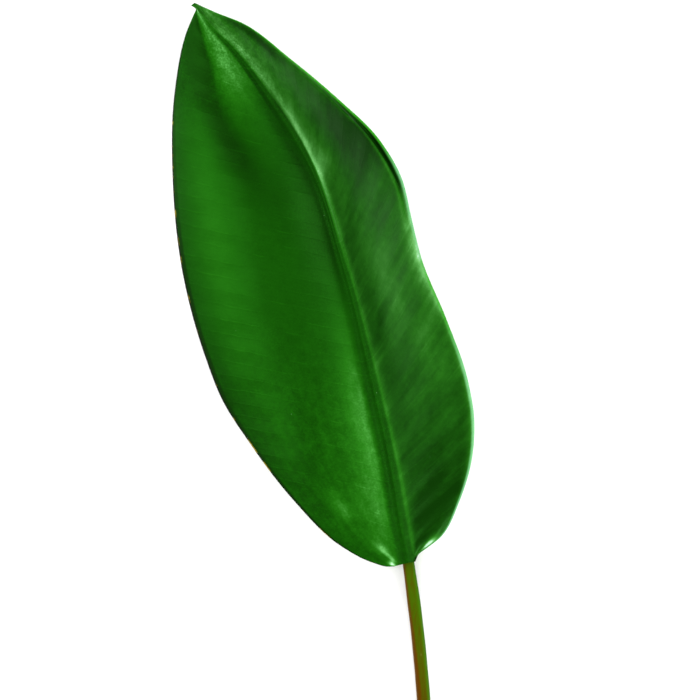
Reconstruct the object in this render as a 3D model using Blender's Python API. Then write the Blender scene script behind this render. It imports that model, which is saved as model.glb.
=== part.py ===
"""A picked ficus leaf with its stalk, lying face up on a flat surface.

The leaf lies along Y with its tip at +Y, and X runs to the right as it is looked at from above. It is folded
along its midrib: the left half lies low and slightly domed, and the right half climbs to a raised margin. The
origin is under the middle of the whole leaf, on the surface that it lies on. Sizes are in millimetres.
"""

import math

import bmesh
import bpy
import numpy as np

MM = 0.001

# Plan of the blade, from the base to the tip.
MIDRIB = [
    (34.1, -81.0),
    (32.5, -74.0),
    (27.5, -46.2),
    (17.5, -0.2),
    (8.7, 35.8),
    (-1.3, 69.8),
    (-17.3, 97.8),
    (-34.5, 123.0),
    (-46.8, 135.4),
    (-52.1, 141.9),
]
LEFT_MARGIN = [
    (28.2, -82.5),
    (26.0, -82.6),
    (19.5, -80.9),
    (6.3, -73.8),
    (-11.7, -56.2),
    (-30.1, -32.2),
    (-40.3, -16.2),
    (-46.7, -0.2),
    (-55.7, 31.8),
    (-60.2, 71.8),
    (-59.3, 107.8),
    (-54.7, 130.6),
    (-51.7, 137.9),
    (-50.9, 139.9),
    (-52.8, 141.4),
]
RIGHT_MARGIN = [
    (36.7, -80.6),
    (38.0, -77.8),
    (41.2, -75.2),
    (46.7, -70.8),
    (54.3, -56.2),
    (59.0, -40.2),
    (60.0, -24.2),
    (57.4, -8.2),
    (48.9, 15.8),
    (39.0, 39.8),
    (35.0, 55.8),
    (31.1, 71.8),
    (22.0, 87.4),
    (6.0, 103.3),
    (-12.7, 119.3),
    (-31.4, 133.7),
    (-43.6, 138.8),
    (-51.4, 142.5),
]
# The rows of the blade cross it at a slant: a row that starts at a share s of the midrib ends at a share s to
# this power of the margin. The rows stand closer near the base by the crowding power.
LEFT_SLANT = 0.82
RIGHT_SLANT = 0.9
VEIN_CROWDING = 1.2

# Heights of the upper face, and the shares of the length that they stand at.
STATIONS = [0.0, 0.07, 0.16, 0.3, 0.45, 0.6, 0.75, 0.88, 1.0]
MIDRIB_HEIGHT = [8.4, 7.5, 6.0, 4.4, 3.65, 3.05, 2.9, 3.4, 4.6]
LEFT_HEIGHT = [8.4, 10.2, 9.2, 3.6, 0.7, 0.6, 0.7, 2.0, 4.8]
RIGHT_HEIGHT = [8.4, 13.6, 21.0, 30.0, 34.0, 33.0, 25.0, 13.0, 4.8]
LEFT_DOME = [0.0, 1.5, 3.5, 6.0, 7.5, 7.5, 5.5, 2.5, 0.0]
RIGHT_DOME = [0.0, 1.0, 2.0, 2.5, 2.5, 2.5, 2.0, 1.0, 0.0]

# Rib and channel along the midrib.
RIB_DEPTH = [4.8, 4.6, 4.3, 3.8, 3.2, 2.6, 2.0, 1.4, 0.9]
RIB_HALF_WIDTH = [2.9, 3.0, 2.7, 2.3, 1.9, 1.5, 1.1, 0.8, 0.4]
CHANNEL_DEPTH = [0.9, 0.9, 0.85, 0.8, 0.65, 0.5, 0.35, 0.2, 0.0]

BLADE_THICKNESS = 0.8
VEIN_PAIRS = 21
VEIN_RELIEF = 0.18
# On its way to the margin a vein runs on towards the tip, past its own row, by this share of the length.
VEIN_LEAN = 0.085
CELLS_PER_VEIN = 4
HALF_CELLS = 15
RIB_CELLS = 3
# Near the tip, where a row of cells is short, the rib takes at most this share of it.
RIB_SHARE = 0.9

# Curls of the right margin: from and to a share of the length, how much of the half's width, and the rise.
UPPER_ROLL = (0.5, 0.9, 0.16, -3.0)
BASE_FOLD = (0.005, 0.1, 0.35, 1.8)

# Upward part of the normal on the steepest slope, and the angle over which an edge shows.
STEEPEST = 0.5
SHARP_ANGLE = math.radians(50)

# Stalk, from its cut end to the blade.
STALK_LINE = [
    (40.6, -142.0, 2.77),
    (39.5, -128.0, 2.82),
    (38.0, -112.0, 3.2),
    (36.1, -96.0, 4.1),
    (34.1, -81.6, 4.75),
]
STALK_RADIUS = 2.75
# Share of that radius at places along the stalk: a little swollen at the blade.
STALK_SWELL = [(0.0, 1.0), (0.6, 0.96), (0.9, 1.0), (1.0, 1.03)]
STALK_RINGS = 24
STALK_BEVEL_STEPS = 6

LEAF_GREEN = (0.012, 0.127, 0.006, 1.0)
STALK_OLIVE = (0.085, 0.190, 0.004, 1.0)


def smooth(knots, values, place):
    """Value at a place of the smooth line that passes through the values at the knots."""
    knots = np.asarray(knots, float)
    values = np.asarray(values, float)
    slopes = np.gradient(values, knots, axis=0)
    i = int(np.clip(np.searchsorted(knots, place) - 1, 0, len(knots) - 2))
    width = knots[i + 1] - knots[i]
    t = (place - knots[i]) / width
    ends = (1 + 2 * t) * (1 - t) ** 2 * values[i] + t * t * (3 - 2 * t) * values[i + 1]
    return ends + width * t * (1 - t) * ((1 - t) * slopes[i] - t * slopes[i + 1])


def point_on(line, share):
    """Point at a share of the length of the smooth line through some points."""
    steps = np.linalg.norm(np.diff(line, axis=0), axis=1)
    knots = np.concatenate([[0.0], np.cumsum(steps)])
    return smooth(knots / knots[-1], line, share)


def ease(value):
    """0 to 1 with a soft start and a soft end."""
    value = min(max(value, 0.0), 1.0)
    return value * value * (3 - 2 * value)


def along_leaf(heights, share):
    """Reads a list that stands at STATIONS."""
    return float(smooth(STATIONS, heights, share))


def along_stalk(share):
    """Radius at a share of the stalk, as a share of its full radius."""
    places, sizes = zip(*STALK_SWELL)
    return float(smooth(places, sizes, share))


def curl(shape, share, out):
    """Rise of a curled margin, at a share of the length and of the half's width."""
    start, end, band, rise = shape
    if not start < share < end:
        return 0.0
    length = math.sin(math.pi * (share - start) / (end - start))
    edge = ease((out - 1 + band) / band)
    return rise * length * edge * edge


def upper_face(row_place, across):
    """Point of the upper face, and the thickness under it.

    row_place runs from 0 at the base to 1 at the tip, and across from -1 at the left margin to 1 at the right.
    """
    share = row_place**VEIN_CROWDING
    right = across > 0
    middle = point_on(MIDRIB, share)
    if right:
        margin = point_on(RIGHT_MARGIN, share**RIGHT_SLANT)
    else:
        margin = point_on(LEFT_MARGIN, share**LEFT_SLANT)
    row = float(np.linalg.norm(margin - middle))
    rib = min(along_leaf(RIB_HALF_WIDTH, share), RIB_SHARE * row)
    cell = abs(across) * HALF_CELLS
    if cell <= RIB_CELLS:
        distance = rib * cell / RIB_CELLS
    else:
        distance = rib + (row - rib) * (cell - RIB_CELLS) / (HALF_CELLS - RIB_CELLS)
    plan = middle + (margin - middle) * distance / row
    out = max(0.0, (distance - rib) / (row - rib))
    in_rib = min(distance / rib, 1.0)

    low = along_leaf(MIDRIB_HEIGHT, share)
    high = along_leaf(RIGHT_HEIGHT if right else LEFT_HEIGHT, share)
    dome = along_leaf(RIGHT_DOME if right else LEFT_DOME, share)
    height = low + (high - low) * out + dome * 4 * out * (1 - out)
    height -= along_leaf(CHANNEL_DEPTH, share) * (1 - ease(in_rib))
    vein = row_place - VEIN_LEAN * out
    height += VEIN_RELIEF * math.cos(2 * math.pi * VEIN_PAIRS * vein) * math.sin(math.pi * out)
    if right:
        height += curl(UPPER_ROLL, share, out) + curl(BASE_FOLD, share, out)

    depth = along_leaf(RIB_DEPTH, share)
    thickness = BLADE_THICKNESS + (depth - BLADE_THICKNESS) * math.sqrt(1 - in_rib**2)
    return (plan[0], plan[1], height), thickness


def plain_material(name, colour, roughness):
    """Principled material with one colour."""
    material = bpy.data.materials.new(name)
    material.use_nodes = True
    shader = material.node_tree.nodes["Principled BSDF"]
    shader.inputs["Base Color"].default_value = colour
    shader.inputs["Roughness"].default_value = roughness
    shader.inputs["Metallic"].default_value = 0.0
    return material


def make_blade(collection):
    """The lamina with its channel, rib and veins, as one solid, its lower face straight under the upper."""
    sheet = bmesh.new()
    bmesh.ops.create_grid(
        sheet, x_segments=2 * HALF_CELLS, y_segments=VEIN_PAIRS * CELLS_PER_VEIN, size=1.0
    )
    depth = sheet.verts.layers.float.new("depth")
    for vertex in sheet.verts:
        place, thickness = upper_face((vertex.co.y + 1) / 2, vertex.co.x)
        vertex.co = [value * MM for value in place]
        vertex[depth] = thickness * MM
    bmesh.ops.triangulate(sheet, faces=sheet.faces[:])
    sheet.normal_update()
    # A wall measured straight down is thicker than one measured square to a steep face.
    for vertex in sheet.verts:
        vertex[depth] /= max(vertex.normal.z, STEEPEST)
    copied = bmesh.ops.extrude_face_region(sheet, geom=sheet.faces[:])["geom"]
    for vertex in copied:
        if isinstance(vertex, bmesh.types.BMVert):
            vertex.co.z = max(vertex.co.z - vertex[depth], 0.0)
    bmesh.ops.recalc_face_normals(sheet, faces=sheet.faces[:])

    mesh = bpy.data.meshes.new("blade")
    sheet.to_mesh(mesh)
    sheet.free()
    mesh.shade_smooth()
    mesh.set_sharp_from_angle(angle=SHARP_ANGLE)
    mesh.materials.append(plain_material("leaf green", LEAF_GREEN, 0.35))
    blade = bpy.data.objects.new("blade", mesh)
    collection.objects.link(blade)
    return blade


def make_petiole(collection):
    """The stalk, a round rod along its line with flat ends."""
    line = bpy.data.curves.new("petiole", "CURVE")
    line.dimensions = "3D"
    line.bevel_depth = STALK_RADIUS * MM
    line.bevel_resolution = STALK_BEVEL_STEPS
    line.use_fill_caps = True
    spline = line.splines.new("POLY")
    shares = np.linspace(0.0, 1.0, STALK_RINGS)
    spline.points.add(len(shares) - 1)
    for point, share in zip(spline.points, shares):
        place = point_on(STALK_LINE, share) * MM
        point.co = (*place, 1.0)
        point.radius = along_stalk(share)
    petiole = bpy.data.objects.new("petiole", line)
    collection.objects.link(petiole)
    line.materials.append(plain_material("stalk olive", STALK_OLIVE, 0.5))
    return petiole


def main():
    """Clears the scene and makes the leaf."""
    for old in list(bpy.data.objects):
        bpy.data.objects.remove(old, do_unlink=True)
    leaf = bpy.data.collections.new("ficus leaf")
    bpy.context.scene.collection.children.link(leaf)
    make_blade(leaf)
    make_petiole(leaf)


main()
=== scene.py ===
"""A picked ficus leaf with its stalk, lying face up under soft studio light.

The leaf lies along Y with its tip at +Y, and X runs to the right as it is looked at from above. Sizes are in
millimetres until a mesh is finished. Two pieces stand for the two solids of the model: the blade, with its
channel, veins, rib and rim, and the stalk.
"""

import logging
import math
from collections.abc import Iterable
from dataclasses import dataclass
from enum import Enum
from typing import Any, Union

import bmesh
import bpy
import numpy as np
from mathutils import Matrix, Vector


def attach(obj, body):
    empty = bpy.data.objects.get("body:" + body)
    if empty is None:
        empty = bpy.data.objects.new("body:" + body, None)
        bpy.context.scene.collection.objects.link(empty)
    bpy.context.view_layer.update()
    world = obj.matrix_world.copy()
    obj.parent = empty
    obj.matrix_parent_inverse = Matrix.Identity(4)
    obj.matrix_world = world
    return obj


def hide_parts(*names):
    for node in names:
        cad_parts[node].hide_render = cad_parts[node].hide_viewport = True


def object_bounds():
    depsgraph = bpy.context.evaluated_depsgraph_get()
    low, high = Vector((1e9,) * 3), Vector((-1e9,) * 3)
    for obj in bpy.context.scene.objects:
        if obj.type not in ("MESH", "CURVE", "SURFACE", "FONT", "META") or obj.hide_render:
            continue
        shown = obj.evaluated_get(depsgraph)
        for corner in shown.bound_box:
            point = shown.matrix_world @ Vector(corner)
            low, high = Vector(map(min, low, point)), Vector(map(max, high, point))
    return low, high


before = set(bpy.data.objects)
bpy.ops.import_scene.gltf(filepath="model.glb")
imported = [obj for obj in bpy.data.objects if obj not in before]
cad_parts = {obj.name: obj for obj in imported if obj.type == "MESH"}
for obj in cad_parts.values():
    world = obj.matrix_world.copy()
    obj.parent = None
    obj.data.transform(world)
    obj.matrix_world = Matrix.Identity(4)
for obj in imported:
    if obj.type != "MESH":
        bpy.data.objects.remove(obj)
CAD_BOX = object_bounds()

LOG = logging.getLogger("ficus_leaf")
MM = 0.001
BODY = "root"
# Share of the half's width over which a patch with a sharp end fades.
CUT_SOFTNESS = 0.05

Colour = tuple[float, float, float]
Point = tuple[float, float, float]
Span = tuple[float, float]
Sizes = tuple[float, ...]
Field = np.ndarray
Number = Union["Value", float]


class Side(Enum):
    """The halves of the blade, by the sign of their places across it."""

    LEFT = -1
    RIGHT = 1


class Face(Enum):
    """The faces of the blade, as the index of each one's material."""

    UPPER = 0
    UNDER = 1
    RIM = 2


class StalkFace(Enum):
    """The faces of the stalk, as the index of each one's material."""

    SKIN = 0
    CUT = 1


class Layer(Enum):
    """Values that a mesh carries for its finishes.

    ACROSS is a share of the half's width on the blade, and the place from side to side on the stalk. RIB is
    the distance from the midrib, in half widths of the rib. SHADE is the painted light and shade of the
    blade's upper face, its painted sheen, highlights and shadows, and on the cut end of the stalk it is the
    distance from its middle.
    """

    ACROSS = "leaf_across"
    ALONG = "leaf_along"
    VEIN = "leaf_vein"
    RIB = "leaf_rib"
    SHADE = "leaf_shade"


def smooth(knots: Iterable[float], values: Iterable[Any], places: Field) -> Field:
    """Reads the smooth line that passes through some values.

    Args:
        knots: Where the values stand.
        values: One number or one point for each knot.
        places: Where to read the line.

    Returns:
        A number or a point for each place.
    """
    knots = np.asarray(knots, float)
    values = np.asarray(values, float)
    slopes = np.gradient(values, knots, axis=0)
    i = np.clip(np.searchsorted(knots, places) - 1, 0, len(knots) - 2)
    width = knots[i + 1] - knots[i]
    t = (places - knots[i]) / width
    if values.ndim > 1:
        width = width[:, None]
        t = t[:, None]
    ends = (1 + 2 * t) * (1 - t) ** 2 * values[i] + t * t * (3 - 2 * t) * values[i + 1]
    return ends + width * t * (1 - t) * ((1 - t) * slopes[i] - t * slopes[i + 1])


def ease(values: Field) -> Field:
    """0 to 1 with a soft start and a soft end."""
    values = np.clip(values, 0.0, 1.0)
    return values * values * (3 - 2 * values)


def bell(values: Field, middle: float, width: float) -> Field:
    """1 at the middle, falling softly to nothing about two widths away."""
    return np.exp(-(((values - middle) / width) ** 2))


@dataclass(frozen=True)
class Line:
    """A smooth line through a few points, read by the share of its length."""

    points: tuple[tuple[float, ...], ...]

    def at(self, share: Field) -> Field:
        """Finds points of the line.

        Args:
            share: Shares of its length, 0 to 1.

        Returns:
            One point for each share.
        """
        steps = np.linalg.norm(np.diff(self.points, axis=0), axis=1)
        knots = np.concatenate([[0.0], np.cumsum(steps)])
        return smooth(knots / knots[-1], self.points, share)


@dataclass(frozen=True)
class Curl:
    """A curl of the right margin: its stretch of the length, its band of the half's width, and its rise."""

    start: float
    end: float
    band: float
    rise: float

    def lift(self, share: Field, out: Field) -> Field:
        """Works out how far the curl lifts the blade.

        Args:
            share: Shares of the leaf's length.
            out: Shares of the half's width, 0 at the rib and 1 at the margin.

        Returns:
            A height for each place.
        """
        length = np.sin(math.pi * np.clip((share - self.start) / (self.end - self.start), 0, 1))
        edge = ease((out - 1 + self.band) / self.band)
        return self.rise * length * edge * edge


@dataclass(frozen=True)
class Trough:
    """A narrow trough beside the right margin, where it rolls over."""

    along: float
    length: float
    out: float
    width: float
    depth: float

    def drop(self, along: Field, out: Field) -> Field:
        """Works out how far the trough lowers the blade, as a height below zero."""
        return -self.depth * bell(along, self.along, self.length) * bell(out, self.out, self.width)


@dataclass(frozen=True)
class Band:
    """A band of painted light beside the midrib, lighter for a highlight and darker for shade, with its
    places, in millimetres, and its strengths at the stations.
    """

    places: Sizes
    width: float
    tail: float
    strengths: Sizes

    def over(self, away: Field) -> Field:
        """Spreads the band.

        Args:
            away: Distances from its line, in millimetres, above zero on the side away from the midrib.

        Returns:
            1 on its line, falling softly over its width towards the midrib and over its tail the other way.
        """
        return bell(away / np.where(away > 0, self.tail, self.width), 0.0, 1.0)


@dataclass(frozen=True)
class PaintedLight:
    """A patch of painted light on the upper face: lighter for a painted highlight or sheen, darker for
    painted shade.
    """

    side: Side
    along: float
    out: float
    length: float
    width: float
    strength: float
    lean: float = 0.0
    cut: float = 2.0

    def over(self, side: Field, along: Field, out: Field) -> Field:
        """Spreads the patch over the blade.

        Args:
            side: -1 on the left half and 1 on the right one.
            along: Places along the leaf, 0 at the base and 1 at the tip.
            out: Shares of the half's width.

        Returns:
            How much lighter each place is.
        """
        middle = self.out + self.lean * (along - self.along)
        spread = bell(along, self.along, self.length) * bell(out - middle, 0.0, self.width)
        spread *= ease((self.cut - out) / CUT_SOFTNESS)
        return self.strength * spread * (side == self.side.value)


class Value:
    """One output of a shader node, which expressions can add, subtract, multiply and divide."""

    def __init__(self, shade: "Shade", socket: bpy.types.NodeSocket) -> None:
        """Keeps the socket and the material that it belongs to."""
        self.shade = shade
        self.socket = socket

    def __add__(self, other: Number) -> "Value":
        """Sum."""
        return self.shade.maths("ADD", self, other)

    __radd__ = __add__

    def __sub__(self, other: Number) -> "Value":
        """Difference."""
        return self.shade.maths("SUBTRACT", self, other)

    def __rsub__(self, other: Number) -> "Value":
        """Difference with the number first, as in 1 - mask."""
        return self.shade.maths("SUBTRACT", other, self)

    def __mul__(self, other: Number) -> "Value":
        """Product."""
        return self.shade.maths("MULTIPLY", self, other)

    __rmul__ = __mul__

    def __truediv__(self, other: Number) -> "Value":
        """Quotient."""
        return self.shade.maths("DIVIDE", self, other)

    def clamp(self) -> "Value":
        """The value, held between 0 and 1."""
        return self.shade.node("ShaderNodeClamp", {}, {"Value": self})

    def size(self) -> "Value":
        """The value without its sign."""
        return self.shade.maths("ABSOLUTE", self)


class Shade:
    """A material in the making."""

    def __init__(self, name: str) -> None:
        """Starts a material.

        Args:
            name: The material's name.
        """
        self.material = bpy.data.materials.new(name)
        self.material.use_nodes = True
        self.tree = self.material.node_tree
        self.shader = self.tree.nodes["Principled BSDF"]

    def feed(self, socket: bpy.types.NodeSocket, value: Any) -> None:
        """Links a value to a socket, or sets the socket where the value is a plain one.

        Args:
            socket: The socket.
            value: A link, a number, a vector or a colour.
        """
        if isinstance(value, Value):
            self.tree.links.new(value.socket, socket)
        elif isinstance(value, tuple) and len(value) == 3 and socket.type == "RGBA":
            socket.default_value = (*value, 1.0)
        else:
            socket.default_value = value

    def node(self, kind: str, settings: dict[str, Any], inputs: dict[Any, Any], output: Any = 0) -> Value:
        """Adds a node.

        Args:
            kind: The node's type.
            settings: Its settings, which are made first. "stops" are a colour ramp's places and colours.
            inputs: Values or links, by the name or the number of the socket.
            output: The name or the number of the output that is used.

        Returns:
            That output.
        """
        made = self.tree.nodes.new(kind)
        for name, setting in settings.items():
            if name == "stops":
                stops = made.color_ramp.elements
                for place, _ in setting[1:-1]:
                    stops.new(place)
                for stop, (place, colour) in zip(stops, setting):
                    stop.position = place
                    stop.color = (*colour, 1.0)
            else:
                setattr(made, name, setting)
        for name, value in inputs.items():
            self.feed(made.inputs[name], value)
        return Value(self, made.outputs[output])

    def maths(self, operation: str, *values: Number) -> Value:
        """Adds a Math node on one value or more."""
        return self.node("ShaderNodeMath", {"operation": operation}, dict(enumerate(values)))

    def mix(self, factor: Number, first: Any, second: Any) -> Value:
        """Mixes two colours.

        Args:
            factor: 0 for the first colour and 1 for the second.
            first: A colour or a link.
            second: A colour or a link.

        Returns:
            The mixed colour.
        """
        settings = {"data_type": "RGBA", "clamp_factor": True}
        inputs = {0: factor, 6: first, 7: second}
        return self.node("ShaderNodeMix", settings, inputs, 2)

    def coat(self, base: Any, *coats: tuple[Number, Any]) -> Any:
        """Lays colours over a base.

        Args:
            base: A colour or a link.
            coats: Masks, each with the colour that it lays.

        Returns:
            The colour with its coats.
        """
        for mask, colour in coats:
            base = self.mix(mask, base, colour)
        return base

    def carried(self, layer: Layer) -> Value:
        """A value that the mesh carries."""
        return self.node("ShaderNodeAttribute", {"attribute_name": layer.value}, {}, "Fac")

    def place(self, scale: Point = (1.0, 1.0, 1.0)) -> Value:
        """Object coordinates in millimetres.

        Args:
            scale: Squeeze of the pattern along each axis, below 1 where it is stretched.

        Returns:
            The coordinates.
        """
        here = self.node("ShaderNodeTexCoord", {}, {}, "Object")
        stretch = tuple(value / MM for value in scale)
        return self.node("ShaderNodeVectorMath", {"operation": "MULTIPLY"}, {0: here, 1: stretch})

    def noise(self, vector: Value, grain: float, detail: float = 2.0, roughness: float = 0.5) -> Value:
        """Adds a cloudy pattern.

        Args:
            vector: Coordinates in millimetres.
            grain: Size of its clouds, in millimetres.
            detail: Number of finer layers.
            roughness: Strength of the finer layers.

        Returns:
            A value of about 0.2 to 0.8.
        """
        inputs = {"Vector": vector, "Scale": 1 / grain, "Detail": detail, "Roughness": roughness}
        return self.node("ShaderNodeTexNoise", {}, inputs, "Fac")

    def layered(self, tone: Value, *layers: tuple[Value, Number]) -> Value:
        """Adds cloudy patterns, each around its own mean, to a tone.

        Args:
            tone: The tone.
            layers: Patterns of 0 to 1, each with its strength.

        Returns:
            The tone with the patterns.
        """
        for pattern, strength in layers:
            tone = tone + (pattern - 0.5) * strength
        return tone

    def step(self, value: Value, start: float, end: float) -> Value:
        """Turns a value into a soft mask.

        Args:
            value: The value.
            start: Where the mask is 0.
            end: Where the mask is 1, above or below the start.

        Returns:
            The mask.
        """
        inputs = {"Value": value, "From Min": start, "From Max": end, "To Min": 0.0, "To Max": 1.0}
        return self.node("ShaderNodeMapRange", {"interpolation_type": "SMOOTHSTEP"}, inputs)

    def specks(self, vector: Value, spacing: float, size: float, share: float) -> Value:
        """Scatters small round dots.

        Args:
            vector: Coordinates in millimetres.
            spacing: Distance between the places that may hold a dot.
            size: Radius of a dot, in millimetres.
            share: How many of the places hold one.

        Returns:
            A mask with the dots at 1.
        """
        inputs = {"Vector": vector, "Scale": 1 / spacing}
        near = self.node("ShaderNodeTexVoronoi", {}, inputs, "Distance")
        name = self.node("ShaderNodeTexVoronoi", {}, inputs, "Color")
        chosen = self.node("ShaderNodeSeparateColor", {}, {0: name}, 0)
        return self.step(near, size / spacing, 0.0) * self.step(chosen, share, share - 0.02)

    def bump(self, *layers: tuple[Value, float]) -> None:
        """Adds relief that is too fine for the mesh.

        Args:
            layers: Values of 0 to 1, each with its height in millimetres.
        """
        height = layers[0][0] * layers[0][1]
        for value, depth in layers[1:]:
            height = height + value * depth
        inputs = {"Height": height, "Distance": MM, "Strength": 1.0}
        self.feed(self.shader.inputs["Normal"], self.node("ShaderNodeBump", {}, inputs))

    def finish(self, **inputs: Any) -> bpy.types.Material:
        """Sets the shader's sockets.

        Args:
            inputs: Values or links, by the socket's name, with _ for a space.

        Returns:
            The material.
        """
        for name, value in inputs.items():
            self.feed(self.shader.inputs[name.replace("_", " ")], value)
        return self.material


@dataclass(frozen=True)
class UpperFinish:
    """The upper face: deep green and glossy, with fine pale veins, streaks, mottling and specks, and painted
    sheen, highlights and shade from the SHADE layer.
    """

    # Tones of the green that carry the painted light and shade, from the deepest painted shade to the palest
    # painted highlight, at shares of the palest tone.
    tones: tuple[tuple[float, Colour], ...] = (
        (0.0, (0.0012, 0.014, 0.0002)),
        (0.167, (0.0022, 0.034, 0.0003)),
        (0.30, (0.0040, 0.056, 0.0008)),
        (0.433, (0.0078, 0.086, 0.0022)),
        (0.55, (0.0180, 0.122, 0.0095)),
        (0.667, (0.0420, 0.200, 0.0300)),
        (0.833, (0.1250, 0.385, 0.1050)),
        (1.0, (0.5000, 0.750, 0.5600)),
    )
    palest: float = 1.5
    # The right margin's mint and bright green lip: partly the margin's own paler colour, partly a painted
    # highlight on its edge.
    mint: Colour = (0.16, 0.44, 0.20)
    lip: Colour = (0.030, 0.260, 0.012)
    # Grey painted sheen on the right half.
    painted_sheen: Colour = (0.130, 0.160, 0.090)
    # Near-black painted shadow along the left margin and in the right corner of the base.
    painted_edge_shadow: Colour = (0.0012, 0.0030, 0.0004)
    speck: Colour = (0.16, 0.40, 0.14)
    tint: Colour = (0.12, 1.0, 0.06)
    lines: int = 42
    finer: int = 4

    # Sizes of the cloudy patterns, in millimetres.
    cloud: float = 14.0
    gap: float = 9.0
    blotch: float = 3.2
    mottle: float = 0.8
    grain: float = 0.45

    # Streaks: their size across the half and along the leaf, as shares.
    band: Span = (0.7, 0.050)
    streak: Span = (0.4, 0.018)
    ray: Span = (0.07, 0.07)
    # Vein lines: half their width and how far they stray, as shares of the distance between two.
    vein: Span = (0.07, 0.22)
    fine_vein: Span = (0.3, 1.2)
    # Where the veins break off and show again, by a pattern with clouds of the size of a gap.
    gaps: Span = (0.46, 0.70)
    # Dots: their spacing and radius, in millimetres, and the share of the places that hold one.
    dots: Sizes = (7.0, 0.26, 0.22)
    roughness: float = 0.25
    shine: float = 0.37

    # Where soft masks start and end, along the leaf.
    tip: Span = (0.76, 0.93)
    wedge: Span = (0.52, 0.30)
    corner: Span = (0.018, 0.009)
    lower_mint: Span = (0.42, 0.32)
    middle_mint: tuple[Span, Span] = ((0.48, 0.55), (0.68, 0.62))

    # Where soft masks start and end, across a half of the blade.
    corner_out: Span = (0.50, 0.70)
    pale_margin: Span = (0.955, 0.988)
    dark_margin: Span = (0.962, 0.978)

    def vein_mask(self, shade: Shade, lines: float, width: float, wobble: float) -> Value:
        """Draws the lines of the lateral veins.

        Args:
            shade: The material.
            lines: How many veins the leaf's length holds.
            width: Half a line's width, as a share of the distance between two.
            wobble: How far a line strays, in the same measure.

        Returns:
            A mask with the veins at 1.
        """
        stray = shade.noise(shade.place(), self.gap, 3.0) - 0.5
        place = shade.carried(Layer.VEIN) * lines + stray * wobble + 0.5
        off = (shade.maths("FRACT", place) - 0.5).size()
        return shade.step(off, width, 0.0)

    def streaks(self, shade: Shade, way: Layer, across: float, along: float, start: float = 0.0) -> Value:
        """Draws streaks.

        Args:
            shade: The material.
            way: VEIN for streaks that follow the lateral veins, and ALONG for ones that run along the leaf.
            across: Size of a streak across the half, as a share of its width.
            along: Size of a streak along the leaf, as a share of its length.
            start: Where the pattern starts, which changes its streaks.

        Returns:
            A cloudy value of about 0.2 to 0.8.
        """
        inputs = {0: shade.carried(Layer.ACROSS) / across, 1: shade.carried(way) / along, 2: start}
        flat = shade.node("ShaderNodeCombineXYZ", {}, inputs)
        return shade.noise(flat, 1.0, 3.0, 0.6)

    def minted(self, shade: Shade) -> Value:
        """Marks the stretches of the leaf where the right margin is mint, and not bright green. Both are
        partly a painted highlight on the margin.

        Args:
            shade: The material.

        Returns:
            A mask with those stretches at 1.
        """
        along = shade.carried(Layer.ALONG)
        start, end = self.middle_mint
        return shade.step(along, *self.lower_mint) + shade.step(along, *start) * shade.step(along, *end)

    def margins(self, shade: Shade, base: Value) -> Value:
        """Lays the pale right margin, partly a painted highlight, and the painted shadows of the left margin
        and of the right corner of the base over a colour.

        Args:
            shade: The material.
            base: The colour.

        Returns:
            The colour with its margins.
        """
        across = shade.carried(Layer.ACROSS)
        out = across.size()
        right = shade.step(across, 0.0, 0.1)
        # The pale right margin: partly its own paler colour, partly a painted highlight on its edge.
        pale = shade.step(out, *self.pale_margin) * right
        near_base = shade.step(shade.carried(Layer.ALONG), *self.corner)
        corner = near_base * shade.step(out, *self.corner_out) * right
        # Painted shadow along the left margin and in the right corner of the base.
        dark = shade.step(out, *self.dark_margin) * (1 - right) + corner
        light = shade.mix(self.minted(shade), self.lip, self.mint)
        return shade.coat(base, (pale * 0.7, light), (dark * 0.95, self.painted_edge_shadow))

    def make(self) -> bpy.types.Material:
        """Builds the material.

        Returns:
            The material.
        """
        shade = Shade("leaf_upper")
        here = shade.place()
        right = shade.step(shade.carried(Layer.ACROSS), 0.0, 0.1)
        along = shade.carried(Layer.ALONG)
        tip = shade.step(along, *self.tip)
        wedge = shade.step(along, *self.wedge) * (1 - right)
        clouds = shade.noise(here, self.cloud, 4.0, 0.6)
        mottle = shade.noise(here, self.mottle, 3.0, 0.7)
        blotches = shade.noise(here, self.blotch, 4.0, 0.65)
        bands = self.streaks(shade, Layer.VEIN, *self.band)
        streaks = self.streaks(shade, Layer.VEIN, *self.streak)
        rays = self.streaks(shade, Layer.ALONG, *self.ray, start=5.0)
        veins = self.vein_mask(shade, self.lines, *self.vein)
        fine = self.vein_mask(shade, self.lines * self.finer, *self.fine_vein)
        broken = shade.step(shade.noise(here, self.gap, 2.0), *self.gaps)

        # Painted light and shade from the SHADE layer, with cloudy patterns over it; the bands and streaks on
        # the right half break up its painted sheen.
        tone = shade.layered(
            shade.carried(Layer.SHADE),
            (clouds, 0.14),
            (mottle, 0.12 + tip * 0.40 + wedge * 0.15),
            (blotches, 0.12 + tip * 0.55 + wedge * 0.35 + right * 0.20),
            (bands, right * (1 - tip) * 0.85),
            (streaks, (0.08 + right * 0.36) * (1 - tip)),
            (rays, 0.05 + tip * 0.35 + wedge * 0.35),
        )
        tone = ((tone + veins * broken * 0.12 + fine * 0.015) / self.palest).clamp()
        base = shade.node("ShaderNodeValToRGB", {"stops": self.tones}, {"Fac": tone})
        dots = shade.specks(here, *self.dots)
        # Grey painted sheen on the right half, stronger where its painted tone is lighter.
        base = shade.coat(base, (right * tone * 0.06, self.painted_sheen), (dots * 0.6, self.speck))
        base = self.margins(shade, base)

        grain = shade.noise(here, self.grain, 2.0)
        shade.bump((grain, 0.010), (mottle, 0.02), (fine, 0.003), (veins, 0.012), (dots, 0.03))
        return shade.finish(
            Base_Color=base,
            Roughness=self.roughness + clouds * 0.08 + mottle * 0.06,
            Specular_Tint=self.tint,
            Specular_IOR_Level=self.shine,
        )


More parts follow.
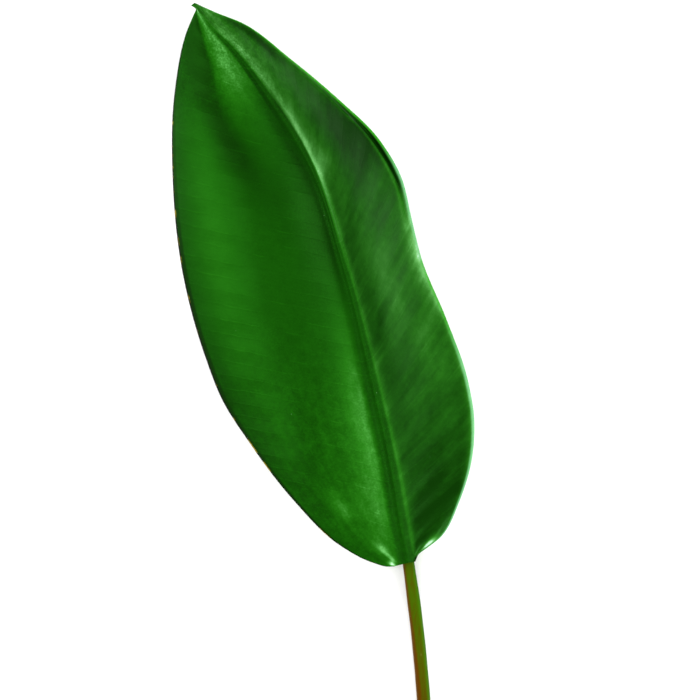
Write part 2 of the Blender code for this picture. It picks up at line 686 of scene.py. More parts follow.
@dataclass(frozen=True)
class UnderFinish:
    """The under face: pale and dull, with a yellow-green rib and a raised net."""

    pale: Colour = (0.075, 0.205, 0.040)
    dark: Colour = (0.045, 0.150, 0.026)
    rib: Colour = (0.230, 0.330, 0.060)
    brown: Colour = (0.100, 0.070, 0.030)
    cloud: float = 12.0
    grain: float = 0.5
    # Cells of the net for each millimetre.
    net: float = 0.7
    # Vein lines and dots, as on the upper face.
    vein: Span = (0.11, 0.18)
    fine_vein: Span = (0.3, 0.9)
    dots: Sizes = (4.0, 0.3, 0.22)
    roughness: float = 0.52
    # Where the rib's colour starts and ends, in half widths of the rib.
    rib_edge: Span = (1.15, 0.8)

    def make(self) -> bpy.types.Material:
        """Builds the material.

        Returns:
            The material.
        """
        shade = Shade("leaf_under")
        here = shade.place()
        clouds = shade.noise(here, self.cloud, 4.0, 0.6)
        upper = UpperFinish()
        veins = upper.vein_mask(shade, upper.lines, *self.vein)
        fine = upper.vein_mask(shade, upper.lines * upper.finer, *self.fine_vein)
        inputs = {"Vector": here, "Scale": self.net}
        cells = shade.node("ShaderNodeTexVoronoi", {"feature": "DISTANCE_TO_EDGE"}, inputs, "Distance")
        net = shade.step(cells, 0.12, 0.0)
        base = shade.coat(
            self.dark,
            (shade.step(clouds, 0.3, 0.7), self.pale),
            (veins * 0.55, self.rib),
            (fine * 0.12 + net * 0.14, self.rib),
            (shade.step(shade.carried(Layer.RIB), *self.rib_edge) * 0.9, self.rib),
            (shade.specks(here, *self.dots) * 0.55, self.brown),
        )
        grain = shade.noise(here, self.grain, 2.0)
        shade.bump((grain, 0.03), (net, 0.03), (veins, 0.06), (fine, 0.02))
        return shade.finish(Base_Color=base, Roughness=self.roughness + clouds * 0.12)


@dataclass(frozen=True)
class RimFinish:
    """The thin rim: near-black painted shade with a little yellow on the left half, mint on the right one,
    partly a painted highlight on its edge.
    """

    # Near-black painted shade along the left half's rim; on the right half mint, partly a painted highlight
    # on its edge.
    left: Colour = (0.0020, 0.0040, 0.0006)
    yellow: Colour = (0.260, 0.190, 0.008)
    right: Colour = (0.200, 0.520, 0.260)
    green: Colour = (0.030, 0.260, 0.012)
    base: Colour = (0.0060, 0.060, 0.0010)
    patch: float = 6.0
    grain: float = 0.4
    yellow_patches: Span = (0.54, 0.64)
    # Where the base's colour starts and ends, along the leaf.
    base_end: Span = (0.006, 0.002)
    roughness: float = 0.45
    shine: float = 0.12

    def make(self) -> bpy.types.Material:
        """Builds the material.

        Returns:
            The material.
        """
        shade = Shade("leaf_rim")
        here = shade.place()
        side = shade.step(shade.carried(Layer.ACROSS), -0.05, 0.05)
        patches = shade.noise(here, self.patch, 3.0)
        # Painted shade on the left rim, with patches of yellow.
        left = shade.mix(shade.step(patches, *self.yellow_patches) * 0.8, self.left, self.yellow)
        right = shade.mix(UpperFinish().minted(shade), self.green, self.right)
        near_base = shade.step(shade.carried(Layer.ALONG), *self.base_end)
        base = shade.coat(left, (side, right), (near_base, self.base))
        grain = shade.noise(here, self.grain, 2.0)
        shade.bump((grain, 0.02), (patches, 0.02))
        roughness = self.roughness + patches * 0.15
        return shade.finish(Base_Color=base, Roughness=roughness, Specular_IOR_Level=self.shine)


@dataclass(frozen=True)
class StalkFinish:
    """The stalk's skin: green to olive, browner at the cut end, with fine ridges, a red flank and pores."""

    green: Colour = (0.038, 0.080, 0.0004)
    olive: Colour = (0.050, 0.060, 0.0004)
    brown: Colour = (0.056, 0.040, 0.0005)
    red: Colour = (0.085, 0.022, 0.0004)
    gold: Colour = (0.240, 0.150, 0.0020)
    bright: Colour = (0.034, 0.118, 0.0003)
    pore: Colour = (0.130, 0.120, 0.020)
    tint: Colour = (0.60, 0.80, 0.20)

    # Squeeze of the patterns along the stalk, below 1 where they are stretched.
    streak_squeeze: float = 0.12
    pore_squeeze: float = 0.45
    # Sizes of the patterns, in millimetres.
    streak: float = 0.7
    cloud: float = 9.0
    grain: float = 0.4
    # Where the tints start and end from side to side, -1 at the left and 1 at the right.
    flank: Span = (-0.48, -0.88)
    edge: Span = (-0.87, -0.97)
    # A lighter right side: a painted highlight where the light falls.
    painted_lit_side: Span = (0.37, 0.81)
    # How much further the flank's red reaches at the cut end.
    flank_spread: float = 0.35
    # Spacing, radius and share of the pores.
    pores: Sizes = (2.4, 0.42, 0.3)
    roughness: float = 0.42
    shine: float = 0.04

    def make(self) -> bpy.types.Material:
        """Builds the material.

        Returns:
            The material.
        """
        shade = Shade("stalk_skin")
        here = shade.place()
        side = shade.carried(Layer.ACROSS)
        along = shade.carried(Layer.ALONG)
        streaks = shade.noise(shade.place((1.0, self.streak_squeeze, 1.0)), self.streak, 4.0, 0.6)
        clouds = shade.noise(here, self.cloud, 3.0)
        spread = shade.step(along, 0.9, 0.0) * self.flank_spread
        flank = shade.step(side + (streaks - 0.5) * 0.5 - spread, *self.flank)
        pores = shade.specks(shade.place((1.0, self.pore_squeeze, 1.0)), *self.pores)
        base = shade.coat(
            self.green,
            (shade.step(along + (clouds - 0.5) * 0.6, 0.75, 0.25), self.olive),
            (shade.step(along + (clouds - 0.5) * 0.5, 0.3, -0.1) * 0.8, self.brown),
            (shade.step(streaks, 0.46, 0.66) * 0.60, self.brown),
            (flank * 0.85, self.red),
            (shade.step(side, *self.edge) * 0.35, self.gold),
            # Painted highlight on the right side.
            (shade.step(side, *self.painted_lit_side) * 0.80, self.bright),
            (pores * 0.6, self.pore),
        )
        shade.bump((streaks, 0.10), (pores, 0.12), (shade.noise(here, self.grain), 0.03))
        return shade.finish(
            Base_Color=base,
            Roughness=self.roughness + streaks * 0.2,
            Specular_Tint=self.tint,
            Specular_IOR_Level=self.shine,
        )


@dataclass(frozen=True)
class CutFinish:
    """The cut end of the stalk: a pale pith inside a green ring, drying at its edge."""

    pith: Colour = (0.30, 0.34, 0.12)
    ring: Colour = (0.12, 0.20, 0.03)
    dry: Colour = (0.10, 0.06, 0.02)
    mottle: float = 0.5
    # Where the ring and the dry edge start and end, from the middle to the edge.
    ring_from: Span = (0.45, 0.62)
    dry_from: Span = (0.86, 0.98)
    # Spacing, radius and share of the dark vessels.
    vessels: Sizes = (0.6, 0.14, 0.5)
    roughness: float = 0.62

    def make(self) -> bpy.types.Material:
        """Builds the material.

        Returns:
            The material.
        """
        shade = Shade("stalk_cut")
        here = shade.place()
        mottle = shade.noise(here, self.mottle, 3.0)
        outward = shade.carried(Layer.SHADE) + (mottle - 0.5) * 0.15
        base = shade.coat(
            self.pith,
            (shade.step(outward, *self.ring_from), self.ring),
            (shade.step(outward, *self.dry_from), self.dry),
            (shade.specks(here, *self.vessels) * 0.4, self.dry),
        )
        shade.bump((mottle, 0.12))
        return shade.finish(Base_Color=base, Roughness=self.roughness + mottle * 0.15)


@dataclass(frozen=True)
class FloorFinish:
    """The matt white floor."""

    white: Colour = (0.95, 0.95, 0.95)
    grey: Colour = (0.93, 0.93, 0.93)
    cloud: float = 60.0
    roughness: float = 0.85

    def make(self) -> bpy.types.Material:
        """Builds the material.

        Returns:
            The material.
        """
        shade = Shade("studio_floor")
        clouds = shade.noise(shade.place(), self.cloud, 2.0)
        return shade.finish(Base_Color=shade.mix(clouds, self.white, self.grey), Roughness=self.roughness)


def link(name: str, mesh: bpy.types.Mesh) -> bpy.types.Object:
    """Puts a mesh in the scene as an object at the origin.

    Args:
        name: The object's name.
        mesh: Its mesh.

    Returns:
        The object.
    """
    made = bpy.data.objects.new(name, mesh)
    bpy.context.scene.collection.objects.link(made)
    return made


def keep_inside(mesh: bmesh.types.BMesh) -> None:
    """Moves points that stand out of the model's box onto it.

    Args:
        mesh: The mesh, in metres.
    """
    low, high = CAD_BOX
    for vertex in mesh.verts:
        vertex.co = [min(max(vertex.co[axis], low[axis]), high[axis]) for axis in range(3)]


def lowest(faces: Iterable[bmesh.types.BMFace]) -> bmesh.types.BMFace:
    """The face that is nearest to the cut end of the stalk."""
    return min(faces, key=lambda face: face.calc_center_median().y)


def smooth_mesh(name: str, shape: bmesh.types.BMesh, sharp: float) -> bpy.types.Mesh:
    """Turns a shape into a mesh with smooth faces.

    Args:
        name: The mesh's name.
        shape: The shape, which is freed.
        sharp: The angle over which an edge shows, in radians.

    Returns:
        The mesh.
    """
    mesh = bpy.data.meshes.new(name)
    shape.to_mesh(mesh)
    shape.free()
    mesh.shade_smooth()
    mesh.set_sharp_from_angle(angle=sharp)
    return mesh


def report(piece: bpy.types.Object) -> None:
    """Logs a piece with its size.

    Args:
        piece: The piece.
    """
    size = [value / MM for value in piece.dimensions]
    count = sum(len(face.vertices) - 2 for face in piece.data.polygons)
    LOG.info("%s: %.1f x %.1f x %.1f mm, %d triangles", piece.name, *size, count)


@dataclass
class Blade:
    """The lamina, from its base to its tip."""

    midrib: Line = Line((
        (34.1, -81.0), (32.5, -74.0), (27.5, -46.2), (17.5, -0.2), (8.7, 35.8),
        (-1.3, 69.8), (-17.3, 97.8), (-34.5, 123.0), (-46.8, 135.4), (-52.1, 141.9),
    ))
    left_margin: Line = Line((
        (28.2, -82.5), (26.0, -82.6), (19.5, -80.9), (6.3, -73.8), (-11.7, -56.2),
        (-30.1, -32.2), (-40.3, -16.2), (-46.7, -0.2), (-55.7, 31.8), (-60.2, 71.8),
        (-59.3, 107.8), (-54.7, 130.6), (-51.7, 137.9), (-50.9, 139.9), (-52.8, 141.4),
    ))
    right_margin: Line = Line((
        (36.7, -80.6), (38.0, -77.8), (41.2, -75.2), (46.7, -70.8), (54.3, -56.2),
        (59.0, -40.2), (60.0, -24.2), (57.4, -8.2), (48.9, 15.8), (39.0, 39.8),
        (35.0, 55.8), (31.1, 71.8), (22.0, 87.4), (6.0, 103.3), (-12.7, 119.3),
        (-31.4, 133.7), (-43.6, 138.8), (-51.4, 142.5),
    ))
    # A row that starts at a share s of the midrib ends at s to the power of the slant on the margin. The rows
    # stand closer near the base by the crowding power.
    left_slant: float = 0.82
    right_slant: float = 0.9
    crowding: float = 1.2

    # Heights of the upper face, and the shares of the length that they stand at.
    stations: Sizes = (0.0, 0.07, 0.16, 0.3, 0.45, 0.6, 0.75, 0.88, 1.0)
    midrib_height: Sizes = (8.4, 7.5, 6.0, 4.4, 3.65, 3.05, 2.9, 3.4, 4.6)
    left_height: Sizes = (8.4, 10.2, 9.2, 3.6, 0.7, 0.6, 0.7, 2.0, 4.8)
    right_height: Sizes = (8.4, 13.6, 21.0, 30.0, 34.0, 33.0, 25.0, 13.0, 4.8)
    left_dome: Sizes = (0.0, 1.5, 3.5, 6.0, 7.5, 7.5, 5.5, 2.5, 0.0)
    right_dome: Sizes = (0.0, 1.0, 2.0, 2.5, 2.5, 2.5, 2.0, 1.0, 0.0)
    rib_depth: Sizes = (4.8, 4.6, 4.3, 3.8, 3.2, 2.6, 2.0, 1.4, 0.9)
    rib_half_width: Sizes = (2.9, 3.0, 2.7, 2.3, 1.9, 1.5, 1.1, 0.8, 0.4)
    channel_depth: Sizes = (0.7, 0.7, 0.65, 0.6, 0.45, 0.4, 0.35, 0.2, 0.0)
    channel_half_width: Sizes = (4.0, 3.6, 3.3, 3.2, 2.3, 2.0, 2.4, 1.5, 0.3)
    channel_shift: Sizes = (-0.4, -0.4, -0.2, -0.4, -0.3, -1.0, -0.3, -1.2, -0.1)
    # How softly the face bends beside the rib, and the share of a short row that the rib may take.
    crease: float = 0.05
    rib_share: float = 0.9
    upper_roll: Curl = Curl(0.5, 0.9, 0.16, -3.0)
    base_fold: Curl = Curl(0.005, 0.1, 0.35, 1.8)

    thickness: float = 0.8
    vein_pairs: int = 21
    # How far a vein runs on towards the tip on its way to the margin, as a share of the length.
    vein_lean: float = 0.085
    # Heights of the waves between the veins, of the ridges on them and of the line beside the midrib.
    left_relief: float = 0.06
    right_relief: float = 0.16
    ridge: float = 0.03
    under_ridge: float = 0.22
    ridge_line: float = 0.14
    # A ridge's width, as a share of the distance between two, and its fades at the rib and at the margin.
    ridge_width: float = 0.1
    ridge_fades: Span = (0.08, 0.06)
    trough: Trough = Trough(0.67, 0.075, 0.937, 0.022, 1.6)
    # Lengths of the waves of a gentle unevenness, the longest one's height, and where it fades at either end.
    waves: Sizes = (46.0, 33.0, 24.0, 17.0, 12.0)
    swell: float = 0.12
    swell_fade: float = 0.08
    seed: int = 7

    rows_per_pair: int = 18
    half_cells: int = 52
    rib_cells: int = 9
    # How much finer the cells are beside the rib and at the margin.
    edge_finer: float = 0.6
    rim_bevel: float = 0.22
    bevel_stretch: Span = (0.02, 0.975)
    # Share of the left half's width where its upper face takes the rim's finish, its near-black painted
    # shade.
    left_rim_from: float = 0.988
    # Upward part of the normal on the steepest slope.
    steepest: float = 0.5
    sharp_angle: float = math.radians(50)

    # Painted light and shade: how light each half is at the start, and the painted shade of the channel. The
    # channel's edge and softness count half widths of it, and its fade at the tip is a share of the length.
    left_tone: float = 0.30
    right_tone: float = 0.40
    painted_channel_shade: Sizes = (0.19, 0.19, 0.19, 0.20, 0.26, 0.22, 0.17, 0.17, 0.19)
    channel_edge: float = 1.05
    channel_softness: float = 0.35
    channel_fade: float = 0.17
    # Bands beside the midrib, and patches, of painted highlight, sheen and shade, lighter or darker than the
    # rest.
    # Painted highlight along the ridge beside the midrib; its places and width also set the ridge line.
    ridge_and_highlight_band: Band = Band(
        places=(3.0, 3.1, 3.0, 2.6, 2.0, 0.6, 2.9, 1.8, 0.3),
        width=0.8,
        tail=1.7,
        strengths=(0.28, 0.30, 0.28, 0.26, 0.20, 0.55, 0.36, 0.19, -0.10),
    )
    # Painted sheen: the bright wedge left of the midrib in the lower half.
    painted_sheen_band: Band = Band(
        places=(-4.5, -5.6, -5.4, -5.8, -5.0, -5.0, -5.0, -5.0, -3.0),
        width=1.3,
        tail=5.5,
        strengths=(0.10, 0.36, 0.38, 0.32, 0.10, 0.0, 0.0, 0.0, 0.0),
    )
    # Painted shade left of the midrib in the upper half.
    painted_shade_band: Band = Band(
        places=(-3.0, -3.0, -3.0, -3.0, -3.0, -3.4, -3.8, -2.6, -1.0),
        width=2.0,
        tail=2.2,
        strengths=(0.0, 0.0, 0.0, 0.0, 0.0, -0.20, -0.22, -0.02, 0.0),
    )
    # The patches are painted light: painted highlights and sheen where they are lighter, painted shade in
    # hollows and troughs where darker.
    # Each patch: side, place along and out, length, width, strength, and for some the lean and the sharp end.
    painted_light_patches: tuple[PaintedLight, ...] = (
        PaintedLight(Side.LEFT, 0.62, 0.77, 0.24, 0.14, 0.24),
        PaintedLight(Side.LEFT, 0.93, 0.70, 0.08, 0.20, -0.66),
        PaintedLight(Side.LEFT, 0.77, 0.53, 0.09, 0.13, -0.34, 1.4),
        PaintedLight(Side.LEFT, 0.90, 0.28, 0.085, 0.25, 0.62, 0.3, 0.53),
        PaintedLight(Side.LEFT, 0.97, 0.15, 0.025, 0.30, 0.35),
        PaintedLight(Side.LEFT, 0.99, 0.30, 0.012, 0.60, 0.60),
        PaintedLight(Side.LEFT, 0.62, 0.08, 0.09, 0.13, -0.34),
        PaintedLight(Side.LEFT, 0.27, 0.22, 0.17, 0.20, 0.22, -0.9),
        PaintedLight(Side.LEFT, 0.14, 0.48, 0.06, 0.26, 0.18),
        PaintedLight(Side.LEFT, 0.155, 0.62, 0.030, 0.07, 0.36),
        PaintedLight(Side.LEFT, 0.060, 0.52, 0.024, 0.13, 0.26),
        PaintedLight(Side.LEFT, 0.045, 0.46, 0.028, 0.06, 0.48, -0.5),
        PaintedLight(Side.LEFT, 0.012, 0.70, 0.015, 0.13, 0.95, -12.0),
        PaintedLight(Side.LEFT, 0.26, 0.85, 0.12, 0.20, -0.12),
        PaintedLight(Side.LEFT, 0.75, 0.98, 0.18, 0.07, -0.18),
        PaintedLight(Side.LEFT, 0.36, 0.97, 0.12, 0.10, -0.16),
        PaintedLight(Side.RIGHT, 0.92, 0.15, 0.13, 0.36, 0.42),
        PaintedLight(Side.RIGHT, 0.98, 0.80, 0.030, 0.40, 0.50),
        PaintedLight(Side.RIGHT, 0.975, 0.20, 0.020, 0.30, -0.20),
        PaintedLight(Side.RIGHT, 0.725, 0.15, 0.055, 0.18, 0.44),
        PaintedLight(Side.RIGHT, 0.72, 0.66, 0.06, 0.25, -0.50),
        PaintedLight(Side.RIGHT, 0.90, 0.82, 0.05, 0.12, -0.50),
        PaintedLight(Side.RIGHT, 0.50, 0.52, 0.11, 0.20, 0.38, -1.6),
        PaintedLight(Side.RIGHT, 0.46, 0.66, 0.04, 0.10, -0.20),
        PaintedLight(Side.RIGHT, 0.39, 0.68, 0.05, 0.16, 0.16),
        PaintedLight(Side.RIGHT, 0.51, 0.97, 0.09, 0.12, 0.80),
        PaintedLight(Side.RIGHT, 0.40, 0.22, 0.10, 0.10, -0.12),
        PaintedLight(Side.RIGHT, 0.26, 1.00, 0.20, 0.045, 0.85),
        PaintedLight(Side.RIGHT, 0.80, 1.00, 0.16, 0.045, 0.60),
        PaintedLight(Side.RIGHT, 0.67, 0.938, 0.065, 0.020, -1.40),
        PaintedLight(Side.RIGHT, 0.66, 0.887, 0.080, 0.015, 0.25),
        PaintedLight(Side.RIGHT, 0.68, 0.84, 0.070, 0.05, -0.24),
        PaintedLight(Side.RIGHT, 0.12, 0.55, 0.10, 0.38, -0.48),
        PaintedLight(Side.RIGHT, 0.20, 0.86, 0.10, 0.09, -0.20),
        PaintedLight(Side.RIGHT, 0.050, 0.82, 0.020, 0.12, 1.45),
        PaintedLight(Side.RIGHT, 0.045, 0.45, 0.020, 0.15, -0.30),
    )

    def along_leaf(self, heights: Sizes, share: Field) -> Field:
        """Reads a row of sizes that stand at the stations."""
        return smooth(self.stations, heights, share)

    def by_half(self, right: Field, rights: Sizes, lefts: Sizes, share: Field) -> Field:
        """Reads one row of sizes on the right half and another on the left one."""
        return np.where(right, self.along_leaf(rights, share), self.along_leaf(lefts, share))

    def off_channel(self, across_mm: Field, row: Field, share: Field) -> Field:
        """Distances from the channel's middle, in half widths of it, at distances from the midrib."""
        half = np.minimum(self.along_leaf(self.channel_half_width, share), self.rib_share * row)
        return np.abs(across_mm - self.along_leaf(self.channel_shift, share)) / half

    def undulation(self, plan: Field) -> Field:
        """Gentle unevenness of a real blade.

        Args:
            plan: Points of the plan, in millimetres.

        Returns:
            A height for each point.
        """
        draw = np.random.default_rng(self.seed)
        height = np.zeros(len(plan))
        for wave in self.waves:
            angle, phase = draw.uniform(0, 2 * math.pi, 2)
            way = np.array([math.cos(angle), math.sin(angle)])
            height += wave / self.waves[0] * np.sin(2 * math.pi * (plan @ way) / wave + phase)
        return self.swell * height

    def surface(self, across: Field, along: Field) -> dict[str, Field]:
        """Works out the upper face.

        Args:
            across: -1 at the left margin to 1 at the right one, in even steps of the grid.
            along: 0 at the base to 1 at the tip, where the lateral veins are evenly spaced.

        Returns:
            The points, the depth of the blade under them, and the values that the finishes read.
        """
        share = along**self.crowding
        right = across > 0
        side = np.where(right, 1, -1)
        middle = self.midrib.at(share)
        right_edge = self.right_margin.at(share**self.right_slant)
        margin = np.where(right[:, None], right_edge, self.left_margin.at(share**self.left_slant))
        row = np.linalg.norm(margin - middle, axis=1)
        rib = np.minimum(self.along_leaf(self.rib_half_width, share), self.rib_share * row)
        cell = np.abs(across) * self.half_cells
        lamina = np.clip((cell - self.rib_cells) / (self.half_cells - self.rib_cells), 0, 1)
        out = lamina - self.edge_finer * np.sin(2 * math.pi * lamina) / (2 * math.pi)
        in_rib = np.clip(cell / self.rib_cells, 0, 1)
        distance = rib * in_rib + (row - rib) * out
        plan = middle + (margin - middle) * (distance / row)[:, None]

        low = self.along_leaf(self.midrib_height, share)
        high = self.by_half(right, self.right_height, self.left_height, share)
        dome = self.by_half(right, self.right_dome, self.left_dome, share)
        crease = self.crease
        soft = (np.sqrt(out**2 + crease**2) - crease) / (math.sqrt(1 + crease**2) - crease)
        height = low + (high - low) * soft + dome * 4 * soft * (1 - soft)
        across_mm = side * distance
        in_channel = 1 - ease(self.off_channel(across_mm, row, share))
        height -= self.along_leaf(self.channel_depth, share) * in_channel
        vein = along - self.vein_lean * out
        waves = np.cos(2 * math.pi * self.vein_pairs * vein) * np.sin(math.pi * out)
        height += np.where(right, self.right_relief, self.left_relief) * waves
        lift = self.upper_roll.lift(share, out) + self.base_fold.lift(share, out)
        height += np.where(right, lift, 0.0)

        phase = 2 * self.vein_pairs * vein
        veins = bell(phase - np.round(phase), 0.0, self.ridge_width)
        rib_fade, margin_fade = self.ridge_fades
        veins *= ease(out / rib_fade) * ease((1 - out) / margin_fade)
        height += self.ridge * veins
        body = ease(share / self.swell_fade) * ease((1 - share) / self.swell_fade)
        height += self.undulation(plan) * np.sin(math.pi * np.clip(out, 0, 1)) * body
        ridge_place = self.along_leaf(self.ridge_and_highlight_band.places, share)
        height += self.ridge_line * bell(across_mm - ridge_place, 0.0, self.ridge_and_highlight_band.width)
        height += np.where(right, self.trough.drop(along, out), 0.0)

        thickness = self.thickness + self.under_ridge * veins
        deep = self.along_leaf(self.rib_depth, share)
        thickness += (deep - self.thickness) * np.sqrt(1 - in_rib**2)
        return {
            "points": np.column_stack([plan, height]) * MM,
            "depth": thickness * MM,
            Layer.ACROSS.value: side * distance / row,
            Layer.ALONG.value: along,
            Layer.VEIN.value: vein,
            Layer.RIB.value: distance / rib,
            Layer.SHADE.value: self.tone(side, along, distance, row),
        }

    def tone(self, side: Field, along: Field, distance: Field, row: Field) -> Field:
        """Works out the painted light and shade of the upper face: its painted sheen, highlights and shadows.

        Args:
            side: -1 on the left half and 1 on the right one.
            along: Places along the leaf, 0 at the base and 1 at the tip.
            distance: Distances from the midrib, in millimetres.
            row: Widths of the half, in millimetres.

        Returns:
            The tone of each place.
        """
        share = along**self.crowding
        tone = np.where(side > 0, self.right_tone, self.left_tone)
        # Painted highlights, sheen and shade from the patches.
        for tint in self.painted_light_patches:
            tone = tone + tint.over(side, along, distance / row)
        # Painted shade in the channel along the midrib, fading at the tip.
        off_channel = self.off_channel(side * distance, row, share)
        dark = ease((self.channel_edge - off_channel) / self.channel_softness)
        dark *= ease((1 - share) / self.channel_fade)
        tone = tone + (self.along_leaf(self.painted_channel_shade, share) - tone) * dark
        # Painted highlight, sheen and shade in bands beside the midrib.
        for band in (self.ridge_and_highlight_band, self.painted_sheen_band, self.painted_shade_band):
            place = self.along_leaf(band.places, share)
            here = np.sign(place) == side
            over = band.over(distance - np.abs(place)) * here
            tone = tone + self.along_leaf(band.strengths, share) * over
        return tone

    def bevel_rim(self, sheet: bmesh.types.BMesh, along: bmesh.types.BMLayerItem) -> None:
        """Rounds both edges of the rim, all but its ends.

        Args:
            sheet: The blade.
            along: The layer of the places along the leaf.
        """
        start, end = self.bevel_stretch
        rim = [
            edge
            for edge in sheet.edges
            if len({face.material_index for face in edge.link_faces}) == 2
            and all(start < vertex[along] < end for vertex in edge.verts)
        ]
        bmesh.ops.bevel(
            sheet, geom=rim, offset=self.rim_bevel * MM, affect="EDGES", segments=2, profile=0.5, material=-1
        )

    def build(self) -> bpy.types.Mesh:
        """Builds the mesh.

        Returns:
            The mesh, with its faces numbered by Face and the values that the finishes read.
        """
        sheet = bmesh.new()
        rows = self.vein_pairs * self.rows_per_pair
        bmesh.ops.create_grid(sheet, x_segments=2 * self.half_cells, y_segments=rows, size=1.0)
        grid = np.array([vertex.co[:2] for vertex in sheet.verts])
        made = self.surface(grid[:, 0], (grid[:, 1] + 1) / 2)
        carried = {layer: sheet.verts.layers.float.new(layer.value) for layer in Layer}
        depth = sheet.verts.layers.float.new("depth")
        for index, vertex in enumerate(sheet.verts):
            vertex.co = made["points"][index]
            vertex[depth] = made["depth"][index]
            for layer, store in carried.items():
                vertex[store] = made[layer.value][index]
        sheet.normal_update()
        for vertex in sheet.verts:
            vertex[depth] /= max(vertex.normal.z, self.steepest)

        upper = sheet.faces[:]
        pushed = bmesh.ops.extrude_face_region(sheet, geom=upper)["geom"]
        under = [item for item in pushed if isinstance(item, bmesh.types.BMFace)]
        for vertex in pushed:
            if isinstance(vertex, bmesh.types.BMVert):
                vertex.co.z = max(vertex.co.z - vertex[depth], 0.0)
        bmesh.ops.recalc_face_normals(sheet, faces=sheet.faces[:])
        for face in sheet.faces:
            face.material_index = Face.RIM.value
        for face in upper:
            face.material_index = Face.UPPER.value
        for face in under:
            face.material_index = Face.UNDER.value
        self.bevel_rim(sheet, carried[Layer.ALONG])
        keep_inside(sheet)
        across = carried[Layer.ACROSS]
        for face in sheet.faces:
            outer = max(vertex[across] for vertex in face.verts) < -self.left_rim_from
            if outer and face.material_index == Face.UPPER.value:
                face.material_index = Face.RIM.value
        return smooth_mesh("leaf_blade", sheet, self.sharp_angle)

    def dress(self, mesh: bpy.types.Mesh) -> None:
        """Gives the mesh its finishes, in the order of Face."""
        for finish in (UpperFinish(), UnderFinish(), RimFinish()):
            mesh.materials.append(finish.make())

    def make(self) -> bpy.types.Object:
        """Builds and dresses the blade.

        Returns:
            The piece.
        """
        mesh = self.build()
        self.dress(mesh)
        piece = link("leaf_blade", mesh)
        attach(piece, BODY)
        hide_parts("blade")
        return piece


@dataclass
class Stalk:
    """The stalk, from its cut end to the blade."""

    line: Line = Line((
        (40.6, -142.0, 2.77), (39.5, -128.0, 2.82), (38.0, -112.0, 3.2), (36.1, -96.0, 4.1),
        (33.9, -80.2, 4.80),
    ))
    radius: float = 2.75
    # Shares of the radius, and where along the stalk they stand.
    swell_places: Sizes = (0.0, 0.6, 0.8, 0.95, 1.0)
    swell: Sizes = (1.0, 0.97, 0.95, 0.87, 0.86)
    ridges: int = 13
    ridge_height: float = 0.05
    # The groove on top: its depth, its width as a share of half a turn, and where it fades in.
    groove: float = 0.30
    groove_width: float = 0.16
    groove_fade: float = 0.2
    # Slow waves of the thickness: their height, how fast they come, and where they start.
    waver: float = 0.05
    waver_rate: float = 23.0
    waver_start: float = 1.0

    sides: int = 64
    rings: int = 180
    # Share of the length over which the stalk's direction is read.
    stride: float = 0.002
    # Points closer than this, in metres, become one.
    weld: float = 1e-6
    cut_bevel: float = 0.3
    sharp_angle: float = math.radians(40)

    def skin(self, around: Field, along: Field) -> Field:
        """Works out the skin.

        Args:
            around: Places around the stalk, 0 on top, and 1 or -1 underneath.
            along: Shares of its length, from the cut end.

        Returns:
            A point for each place, in millimetres.
        """
        ahead = self.line.at(np.clip(along + self.stride, 0, 1))
        way = ahead - self.line.at(np.clip(along - self.stride, 0, 1))
        way /= np.linalg.norm(way, axis=1)[:, None]
        # The cross-section's own axes: to the right, and up.
        right = np.cross(way, [0.0, 0.0, 1.0])
        right /= np.linalg.norm(right, axis=1)[:, None]
        up = np.cross(right, way)
        angle = math.pi * around
        radius = self.radius * smooth(self.swell_places, self.swell, along)
        radius -= self.groove * bell(around, 0.0, self.groove_width) * ease(along / self.groove_fade)
        radius -= self.ridge_height * (1 + np.cos(self.ridges * angle)) / 2
        radius -= self.waver * (1 + np.sin(along * self.waver_rate + self.waver_start)) / 2
        outward = np.sin(angle)[:, None] * right + np.cos(angle)[:, None] * up
        return self.line.at(along) + radius[:, None] * outward

    def close(self, tube: bmesh.types.BMesh, shade: bmesh.types.BMLayerItem) -> None:
        """Closes both ends, and bevels the cut one.

        Args:
            tube: The stalk.
            shade: The layer of the distances from the cut end's middle.
        """
        ends = bmesh.ops.holes_fill(tube, edges=[edge for edge in tube.edges if edge.is_boundary])["faces"]
        for face in ends:
            face.material_index = StalkFace.CUT.value
        bmesh.ops.recalc_face_normals(tube, faces=tube.faces[:])
        bmesh.ops.bevel(
            tube,
            geom=lowest(ends).edges[:],
            offset=self.cut_bevel * MM,
            affect="EDGES",
            segments=2,
            profile=0.5,
            material=-1,
        )
        flat = lowest(face for face in tube.faces if len(face.verts) > 4)
        for vertex in bmesh.ops.poke(tube, faces=[flat])["verts"]:
            vertex[shade] = 0.0

    def build(self) -> bpy.types.Mesh:
        """Builds the mesh.

        Returns:
            The mesh, with its faces numbered by StalkFace and the values that the finishes read.
        """
        tube = bmesh.new()
        bmesh.ops.create_grid(tube, x_segments=self.sides, y_segments=self.rings, size=1.0)
        grid = np.array([vertex.co[:2] for vertex in tube.verts])
        around = grid[:, 0]
        along = (grid[:, 1] + 1) / 2
        points = self.skin(around, along)
        used = (Layer.ACROSS, Layer.ALONG, Layer.SHADE)
        stores = {layer: tube.verts.layers.float.new(layer.value) for layer in used}
        for index, vertex in enumerate(tube.verts):
            vertex.co = points[index] * MM
            vertex[stores[Layer.ACROSS]] = math.sin(math.pi * around[index])
            vertex[stores[Layer.ALONG]] = along[index]
            vertex[stores[Layer.SHADE]] = 1.0
        bmesh.ops.remove_doubles(tube, verts=tube.verts[:], dist=self.weld)
        self.close(tube, stores[Layer.SHADE])
        return smooth_mesh("leaf_petiole", tube, self.sharp_angle)

    def dress(self, mesh: bpy.types.Mesh) -> None:
        """Gives the mesh its finishes, in the order of StalkFace."""
        for finish in (StalkFinish(), CutFinish()):
            mesh.materials.append(finish.make())

    def make(self) -> bpy.types.Object:
        """Builds and dresses the stalk.

        Returns:
            The piece.
        """
        mesh = self.build()
        self.dress(mesh)
        piece = link("leaf_petiole", mesh)
        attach(piece, BODY)
        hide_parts("petiole")
        return piece


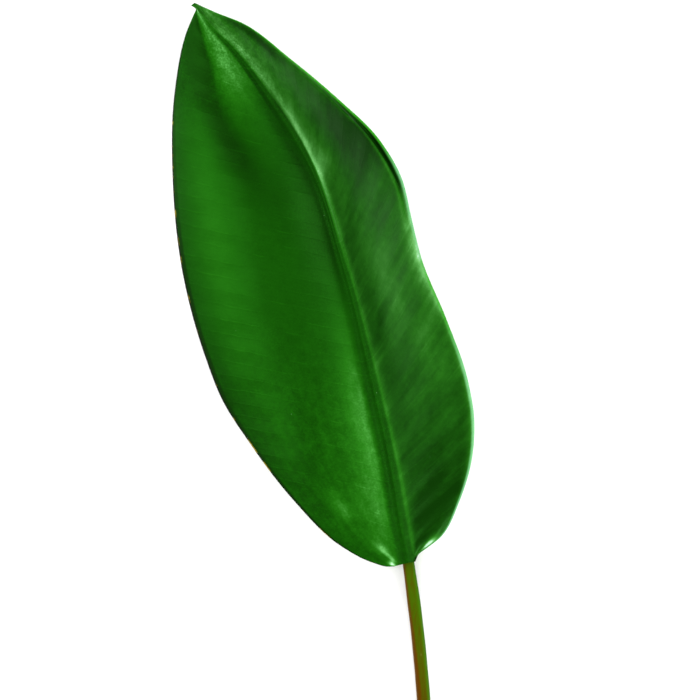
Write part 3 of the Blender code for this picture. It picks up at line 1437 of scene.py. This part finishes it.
@dataclass
class Studio:
    """Floor, light and camera. Sizes here are in metres."""

    floor_size: float = 12.0
    floor_drop: float = 0.0002
    camera_place: Point = (0.0107, 0.0038, 2.5)
    frame_width: float = 0.28
    sensor: float = 36.0
    world: float = 0.62
    # Name, place, size along and across, power, and whether the gloss of the leaf shows it.
    lamps: tuple[tuple[str, Point, tuple[float, float], float, bool], ...] = (
        ("fill_tip_end", (0.2, 1.9, 0.9), (2.2, 0.8), 54.0, False),
        ("fill_stalk_end", (0.2, -1.9, 0.9), (2.2, 0.8), 54.0, False),
        ("softbox_left_low", (-1.5, 0.5, 0.65), (0.9, 0.6), 10.0, True),
        ("softbox_left_high", (-0.85, 0.1, 1.7), (0.35, 1.2), 5.0, True),
        ("softbox_right", (1.25, 0.4, 1.0), (0.5, 0.8), 9.0, True),
    )

    def make(self) -> None:
        """Builds the studio."""
        self.floor()
        for lamp in self.lamps:
            self.lamp(*lamp)
        self.camera()
        world = bpy.data.worlds.new("studio")
        world.use_nodes = True
        world.node_tree.nodes["Background"].inputs["Color"].default_value = (1.0, 1.0, 1.0, 1.0)
        world.node_tree.nodes["Background"].inputs["Strength"].default_value = self.world
        bpy.context.scene.world = world
        bpy.context.scene.view_settings.view_transform = "Standard"

    def floor(self) -> None:
        """Lays the floor just under the leaf."""
        ground = bmesh.new()
        bmesh.ops.create_grid(ground, x_segments=2, y_segments=2, size=self.floor_size / 2)
        for vertex in ground.verts:
            vertex.co.z = -self.floor_drop
        mesh = bpy.data.meshes.new("floor")
        ground.to_mesh(mesh)
        ground.free()
        mesh.materials.append(FloorFinish().make())
        link("floor", mesh)

    def lamp(self, name: str, place: Point, size: tuple[float, float], power: float, shown: bool) -> None:
        """Hangs a soft lamp that faces the leaf.

        Args:
            name: The lamp's name.
            place: Where it hangs.
            size: Its width and height.
            power: Its power, in watts.
            shown: Whether glossy faces reflect it.
        """
        light = bpy.data.lights.new(name, "AREA")
        light.shape = "RECTANGLE"
        light.size, light.size_y = size
        light.energy = power
        hung = bpy.data.objects.new(name, light)
        hung.location = place
        hung.rotation_euler = (-Vector(place)).to_track_quat("-Z", "Y").to_euler()
        hung.visible_camera = False
        hung.visible_glossy = shown
        bpy.context.scene.collection.objects.link(hung)

    def camera(self) -> None:
        """Sets the camera straight above the leaf, looking down."""
        data = bpy.data.cameras.new("camera")
        data.sensor_width = self.sensor
        data.lens = self.sensor * self.camera_place[2] / self.frame_width
        camera = bpy.data.objects.new("camera", data)
        camera.location = self.camera_place
        bpy.context.scene.collection.objects.link(camera)
        bpy.context.scene.camera = camera


def main() -> None:
    """Builds the leaf and its studio, and reports each piece."""
    logging.basicConfig(level=logging.INFO, format="%(name)s %(message)s")
    for maker in (Blade(), Stalk()):
        report(maker.make())
    Studio().make()


if __name__ == "__main__":
    main()
